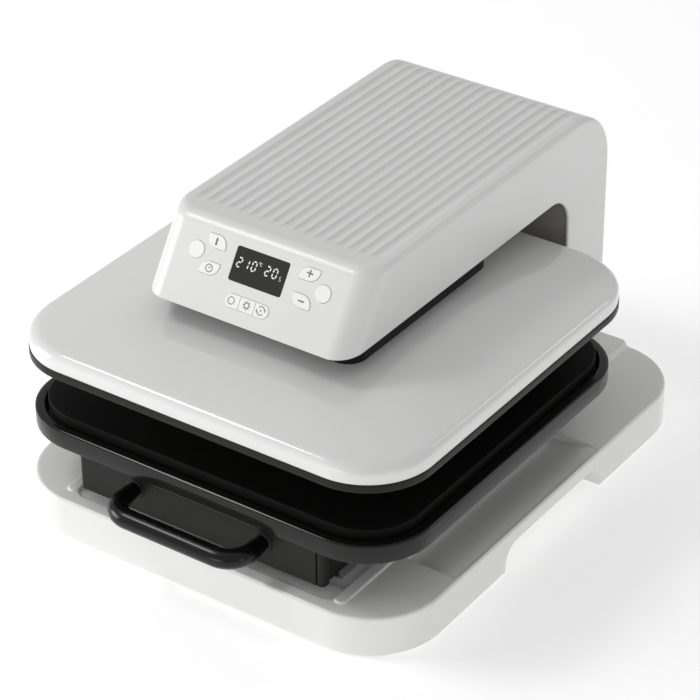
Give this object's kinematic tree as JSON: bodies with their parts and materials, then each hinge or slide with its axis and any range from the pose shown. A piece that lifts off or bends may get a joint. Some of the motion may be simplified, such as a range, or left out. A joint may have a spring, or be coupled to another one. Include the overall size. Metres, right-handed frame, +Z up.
{
  "type": "heat press",
  "caption": "Bench heat press with a slide-out lower tray, a motorised heated upper platen, an overhanging control arm with keys and display, and a side-gripped base.",
  "frame": {"origin": "centre of the bounding box in plan, on the surface the feet stand on", "axes": "+X to the user's right, +Y towards the back, +Z up; the handle and the control panel face -Y"},
  "size_m": [0.421, 0.54, 0.2933],
  "materials": {
    "white_shell": "satin warm white moulded shell",
    "key_white": "satin white key cap",
    "dark_trim": "satin black moulded trim",
    "dark_metal": "satin black powder coat",
    "pad_black": "smooth black silicone",
    "rubber_black": "matte black rubber",
    "bare_steel": "zinc plated sheet steel",
    "bright_steel": "ground steel",
    "cast_aluminium": "machined aluminium",
    "nonstick": "cast aluminium with a dark non-stick coating",
    "element": "heat-tinted sheath",
    "blanket": "woven insulation",
    "brass": "plain bearing bronze and brass",
    "board_green": "printed circuit board",
    "display_dark": "dark display window",
    "inlet_black": "black moulded plastic",
    "rocker_red": "glossy red",
    "copper": "varnished copper winding"
  },
  "bodies": {
    "stand": {"base_shell": "white_shell", "base_plate": "bare_steel", "feet": "rubber_black", "base_screws": "bright_steel", "slide_brackets": "bare_steel", "bracket_screws": "bright_steel", "outer_rails": "bare_steel", "arm_shell": "white_shell", "arm_skirt": "dark_trim", "inner_cover": "dark_trim", "rear_cover": "white_shell", "rear_screws": "dark_metal", "frame_sides": "bare_steel", "frame_plate": "bare_steel", "bushings": "brass", "nut_bearing": "bright_steel", "drive_belt": "rubber_black", "motor": "dark_metal", "control_board": "board_green", "lcd_module": "display_dark", "display_window": "display_dark", "inlet_body": "inlet_black", "inlet_pins": "bright_steel", "switch_body": "inlet_black", "power_board": "board_green", "transformer": "copper"},
    "slide_middle": {"middle_rails": "bare_steel"},
    "drawer": {"inner_rails": "bare_steel", "drawer_pan": "dark_metal", "drawer_front": "dark_metal", "tray": "dark_trim", "tray_support": "bare_steel", "lower_platen": "cast_aluminium", "pad": "pad_black", "handle": "dark_trim", "handle_screws": "bright_steel"},
    "platen": {"dome": "white_shell", "trim": "dark_trim", "heater_plate": "nonstick", "heating_element": "element", "insulation": "blanket", "backing_plate": "bare_steel", "spacers": "bright_steel", "lift_hub": "cast_aluminium", "lead_screw": "bright_steel", "guide_rods": "bright_steel", "thermal_sensor": "cast_aluminium"},
    "screw_nut": {"nut_pulley": "brass"},
    "motor_wheel": {"motor_pulley": "cast_aluminium"},
    "rocker": {"power_rocker": "rocker_red"},
    "key_spare_left_cap": {"key_spare_left": "key_white"},
    "key_spare_right_cap": {"key_spare_right": "key_white"},
    "key_temperature_cap": {"key_temperature": "key_white"},
    "key_timer_cap": {"key_timer": "key_white"},
    "key_plus_cap": {"key_plus": "key_white"},
    "key_minus_cap": {"key_minus": "key_white"},
    "key_low_cap": {"key_low": "key_white"},
    "key_high_cap": {"key_high": "key_white"},
    "key_auto_cap": {"key_auto": "key_white"}
  },
  "joints": [
    {"name": "drawer_slide", "type": "slide", "parent": "stand", "child": "drawer", "axis": [0, -1, 0], "range_m": [0, 0.24]},
    {"name": "middle_slide", "type": "slide", "parent": "stand", "child": "slide_middle", "axis": [0, -1, 0], "range_m": [0, 0.12]},
    {"name": "platen_lift", "type": "slide", "parent": "stand", "child": "platen", "axis": [0, 0, -1], "range_m": [0, 0.0385]},
    {"name": "nut_turn", "type": "hinge", "parent": "stand", "child": "screw_nut", "pos_m": [0, -0.03, 0.25], "axis": [0, 0, 1], "range_deg": [0, 1732.5]},
    {"name": "motor_turn", "type": "hinge", "parent": "stand", "child": "motor_wheel", "pos_m": [0, 0.236, 0.25], "axis": [0, 0, 1], "range_deg": [0, 1732.5]},
    {"name": "power_rock", "type": "hinge", "parent": "stand", "child": "rocker", "pos_m": [-0.022, 0.263, 0.0741], "axis": [1, 0, 0], "range_deg": [0, 16]},
    {"name": "key_spare_left_press", "type": "slide", "parent": "stand", "child": "key_spare_left_cap", "axis": [0, 0.8327, -0.5537], "range_m": [0, 0.001], "stiffness_N_per_m": 500, "springref_m": -0.001},
    {"name": "key_spare_right_press", "type": "slide", "parent": "stand", "child": "key_spare_right_cap", "axis": [0, 0.8327, -0.5537], "range_m": [0, 0.001], "stiffness_N_per_m": 500, "springref_m": -0.001},
    {"name": "key_temperature_press", "type": "slide", "parent": "stand", "child": "key_temperature_cap", "axis": [0, 0.8327, -0.5537], "range_m": [0, 0.001], "stiffness_N_per_m": 500, "springref_m": -0.001},
    {"name": "key_timer_press", "type": "slide", "parent": "stand", "child": "key_timer_cap", "axis": [0, 0.8327, -0.5537], "range_m": [0, 0.001], "stiffness_N_per_m": 500, "springref_m": -0.001},
    {"name": "key_plus_press", "type": "slide", "parent": "stand", "child": "key_plus_cap", "axis": [0, 0.8327, -0.5537], "range_m": [0, 0.001], "stiffness_N_per_m": 500, "springref_m": -0.001},
    {"name": "key_minus_press", "type": "slide", "parent": "stand", "child": "key_minus_cap", "axis": [0, 0.8327, -0.5537], "range_m": [0, 0.001], "stiffness_N_per_m": 500, "springref_m": -0.001},
    {"name": "key_low_press", "type": "slide", "parent": "stand", "child": "key_low_cap", "axis": [0, 0.8327, -0.5537], "range_m": [0, 0.001], "stiffness_N_per_m": 500, "springref_m": -0.001},
    {"name": "key_high_press", "type": "slide", "parent": "stand", "child": "key_high_cap", "axis": [0, 0.8327, -0.5537], "range_m": [0, 0.001], "stiffness_N_per_m": 500, "springref_m": -0.001},
    {"name": "key_auto_press", "type": "slide", "parent": "stand", "child": "key_auto_cap", "axis": [0, 0.8327, -0.5537], "range_m": [0, 0.001], "stiffness_N_per_m": 500, "springref_m": -0.001}
  ],
  "couplings": [
    {"joint": "middle_slide", "follows": "drawer_slide", "ratio": 0.5},
    {"joint": "nut_turn", "follows": "platen_lift", "rad_per_m": 785.4},
    {"joint": "motor_turn", "follows": "platen_lift", "rad_per_m": 785.4}
  ]
}
